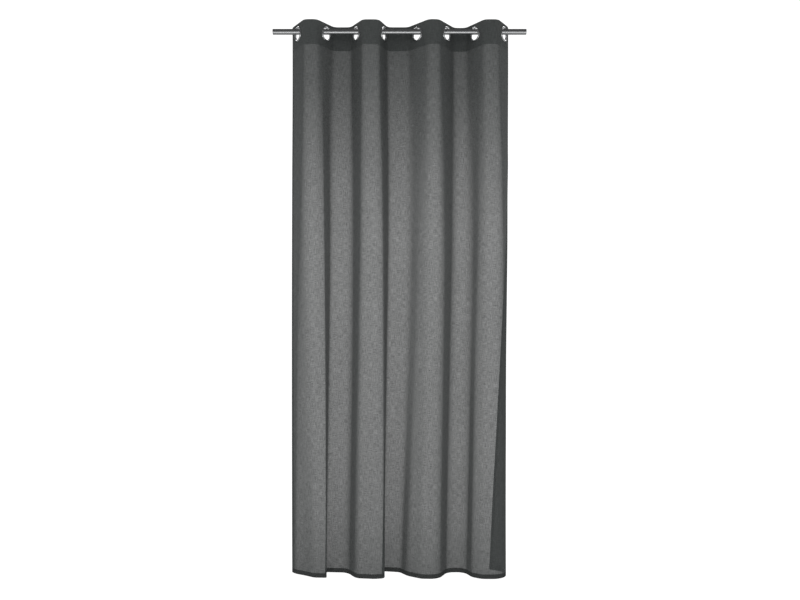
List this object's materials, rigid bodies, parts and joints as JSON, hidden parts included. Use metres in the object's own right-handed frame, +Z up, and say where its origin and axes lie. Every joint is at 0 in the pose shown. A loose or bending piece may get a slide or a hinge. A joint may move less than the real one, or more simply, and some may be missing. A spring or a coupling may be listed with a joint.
{
  "type": "eyelet curtain panel",
  "caption": "Semi-sheer voile curtain panel with a stiffened eyelet header, hung in folds on a round metal rod and drawn along it like an accordion.",
  "frame": {"origin": "on the rod's axis, halfway along the rod", "axes": "+X along the rod to the right seen from the front, +Y from the curtain's front to its back, +Z up"},
  "size_m": [1.1274, 0.1114, 2.45],
  "materials": {
    "voile": "semi-sheer plain weave, dark anthracite",
    "header_tape": "stiff non-woven header tape",
    "eyelet_metal": "polished silver-coloured eyelet rings",
    "rod_steel": "satin stainless tube"
  },
  "bodies": {
    "rod": {"rod": "rod_steel"},
    "pleat_1": {"cloth_1": "voile", "header_facing_1": "voile", "header_tape_1": "header_tape", "bottom_hem_1": "voile", "eyelet_front_1": "eyelet_metal", "eyelet_back_1": "eyelet_metal", "side_hem_left": "voile"},
    "pleat_2": {"cloth_2": "voile", "header_facing_2": "voile", "header_tape_2": "header_tape", "bottom_hem_2": "voile", "eyelet_front_2": "eyelet_metal", "eyelet_back_2": "eyelet_metal"},
    "pleat_3": {"cloth_3": "voile", "header_facing_3": "voile", "header_tape_3": "header_tape", "bottom_hem_3": "voile", "eyelet_front_3": "eyelet_metal", "eyelet_back_3": "eyelet_metal"},
    "pleat_4": {"cloth_4": "voile", "header_facing_4": "voile", "header_tape_4": "header_tape", "bottom_hem_4": "voile", "eyelet_front_4": "eyelet_metal", "eyelet_back_4": "eyelet_metal"},
    "pleat_5": {"cloth_5": "voile", "header_facing_5": "voile", "header_tape_5": "header_tape", "bottom_hem_5": "voile", "eyelet_front_5": "eyelet_metal", "eyelet_back_5": "eyelet_metal"},
    "pleat_6": {"cloth_6": "voile", "header_facing_6": "voile", "header_tape_6": "header_tape", "bottom_hem_6": "voile", "eyelet_front_6": "eyelet_metal", "eyelet_back_6": "eyelet_metal"},
    "pleat_7": {"cloth_7": "voile", "header_facing_7": "voile", "header_tape_7": "header_tape", "bottom_hem_7": "voile", "eyelet_front_7": "eyelet_metal", "eyelet_back_7": "eyelet_metal"},
    "pleat_8": {"cloth_8": "voile", "header_facing_8": "voile", "header_tape_8": "header_tape", "bottom_hem_8": "voile", "eyelet_front_8": "eyelet_metal", "eyelet_back_8": "eyelet_metal", "side_hem_right": "voile"}
  },
  "joints": [
    {"name": "draw", "type": "hinge", "parent": "rod", "child": "pleat_1", "pos_m": [-0.45168, 0, 0], "axis": [0, 0, -1], "range_deg": [-4, 36]},
    {"name": "fold_1", "type": "hinge", "parent": "pleat_1", "child": "pleat_2", "pos_m": [-0.38909, -0.05451, 0], "axis": [0, 0, 1], "range_deg": [-8, 72]},
    {"name": "fold_2", "type": "hinge", "parent": "pleat_2", "child": "pleat_3", "pos_m": [-0.25964, 0.04627, 0], "axis": [0, 0, -1], "range_deg": [-8, 72]},
    {"name": "fold_3", "type": "hinge", "parent": "pleat_3", "child": "pleat_4", "pos_m": [-0.13217, -0.05213, 0], "axis": [0, 0, 1], "range_deg": [-8, 72]},
    {"name": "fold_4", "type": "hinge", "parent": "pleat_4", "child": "pleat_5", "pos_m": [0.00377, 0.0461, 0], "axis": [0, 0, -1], "range_deg": [-8, 72]},
    {"name": "fold_5", "type": "hinge", "parent": "pleat_5", "child": "pleat_6", "pos_m": [0.14436, -0.05455, 0], "axis": [0, 0, 1], "range_deg": [-8, 72]},
    {"name": "fold_6", "type": "hinge", "parent": "pleat_6", "child": "pleat_7", "pos_m": [0.27314, 0.05462, 0], "axis": [0, 0, -1], "range_deg": [-8, 72]},
    {"name": "fold_7", "type": "hinge", "parent": "pleat_7", "child": "pleat_8", "pos_m": [0.40016, -0.0528, 0], "axis": [0, 0, 1], "range_deg": [-8, 72]}
  ],
  "couplings": [
    {"joint": "fold_1", "follows": "draw", "ratio": 2},
    {"joint": "fold_2", "follows": "draw", "ratio": 2},
    {"joint": "fold_3", "follows": "draw", "ratio": 2},
    {"joint": "fold_4", "follows": "draw", "ratio": 2},
    {"joint": "fold_5", "follows": "draw", "ratio": 2},
    {"joint": "fold_6", "follows": "draw", "ratio": 2},
    {"joint": "fold_7", "follows": "draw", "ratio": 2}
  ]
}
